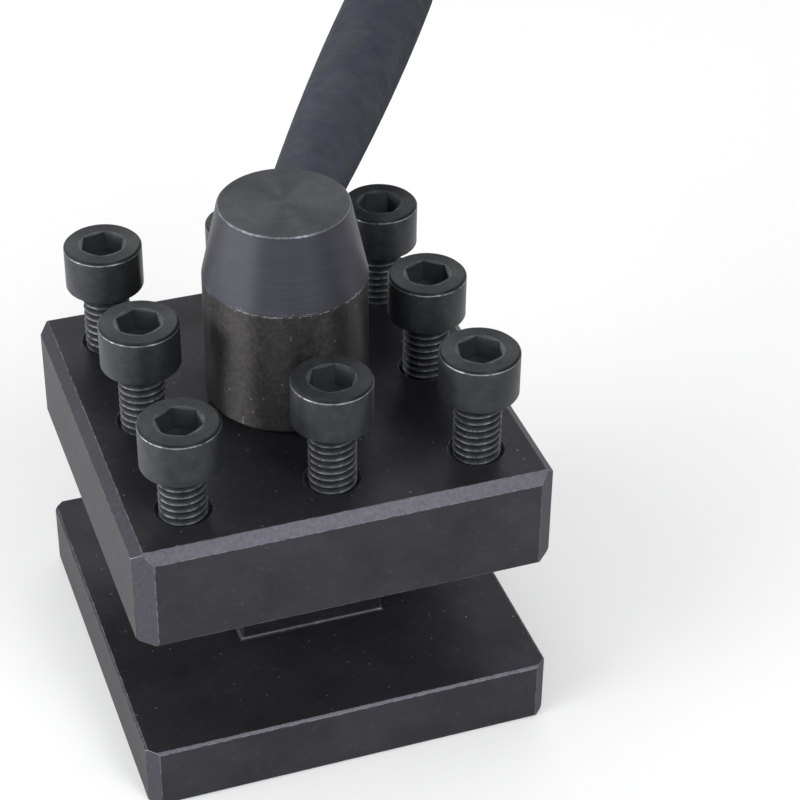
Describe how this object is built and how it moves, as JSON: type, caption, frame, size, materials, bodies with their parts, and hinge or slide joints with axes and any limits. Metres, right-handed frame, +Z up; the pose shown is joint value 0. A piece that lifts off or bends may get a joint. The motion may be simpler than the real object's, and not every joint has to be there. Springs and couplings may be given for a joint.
{
  "type": "four-way lathe tool post",
  "caption": "Square four-way tool post for a small lathe: slotted block with socket-head clamping screws, a tapered clamp hub and a side lever.",
  "frame": {"origin": "centre of the block's underside, on the stud's axis, where the post sits on the lathe's slide", "axes": "+Z up along the stud, +X to the right along the front of the block, +Y to the back"},
  "size_m": [0.0669, 0.0912, 0.0814],
  "materials": {
    "block_black_oxide": "satin",
    "screw_black_oxide": "satin",
    "hub_black_oxide": "satin",
    "lever_black_oxide": "satin",
    "stud_steel": "satin",
    "washer_steel": "satin"
  },
  "bodies": {
    "post": {"centre_stud": "stud_steel"},
    "turret": {"tool_block": "block_black_oxide", "thrust_washer": "washer_steel"},
    "clamp": {"clamp_hub": "hub_black_oxide", "clamp_lever": "lever_black_oxide"},
    "screw_front_left": {"clamp_screw_front_left": "screw_black_oxide"},
    "screw_front_middle": {"clamp_screw_front_middle": "screw_black_oxide"},
    "screw_front_right": {"clamp_screw_front_right": "screw_black_oxide"},
    "screw_middle_left": {"clamp_screw_middle_left": "screw_black_oxide"},
    "screw_middle_right": {"clamp_screw_middle_right": "screw_black_oxide"},
    "screw_back_left": {"clamp_screw_back_left": "screw_black_oxide"},
    "screw_back_middle": {"clamp_screw_back_middle": "screw_black_oxide"},
    "screw_back_right": {"clamp_screw_back_right": "screw_black_oxide"}
  },
  "joints": [
    {"name": "turret_index", "type": "hinge", "parent": "post", "child": "turret", "pos_m": [0, 0, 0], "axis": [0, 0, 1], "continuous": true},
    {"name": "clamp_swing", "type": "hinge", "parent": "post", "child": "clamp", "pos_m": [0, 0, 0], "axis": [0, 0, 1], "range_deg": [0, 180]},
    {"name": "screw_front_left_travel", "type": "slide", "parent": "turret", "child": "screw_front_left", "axis": [0, 0, 1], "range_m": [-0.0069, 0.0043]},
    {"name": "screw_front_middle_travel", "type": "slide", "parent": "turret", "child": "screw_front_middle", "axis": [0, 0, 1], "range_m": [-0.0089, 0.0023]},
    {"name": "screw_front_right_travel", "type": "slide", "parent": "turret", "child": "screw_front_right", "axis": [0, 0, 1], "range_m": [-0.0089, 0.0023]},
    {"name": "screw_middle_left_travel", "type": "slide", "parent": "turret", "child": "screw_middle_left", "axis": [0, 0, 1], "range_m": [-0.0088, 0.0024]},
    {"name": "screw_middle_right_travel", "type": "slide", "parent": "turret", "child": "screw_middle_right", "axis": [0, 0, 1], "range_m": [-0.0083, 0.0029]},
    {"name": "screw_back_left_travel", "type": "slide", "parent": "turret", "child": "screw_back_left", "axis": [0, 0, 1], "range_m": [-0.0088, 0.0024]},
    {"name": "screw_back_middle_travel", "type": "slide", "parent": "turret", "child": "screw_back_middle", "axis": [0, 0, 1], "range_m": [-0.0085, 0.0027]},
    {"name": "screw_back_right_travel", "type": "slide", "parent": "turret", "child": "screw_back_right", "axis": [0, 0, 1], "range_m": [-0.0079, 0.0033]}
  ]
}
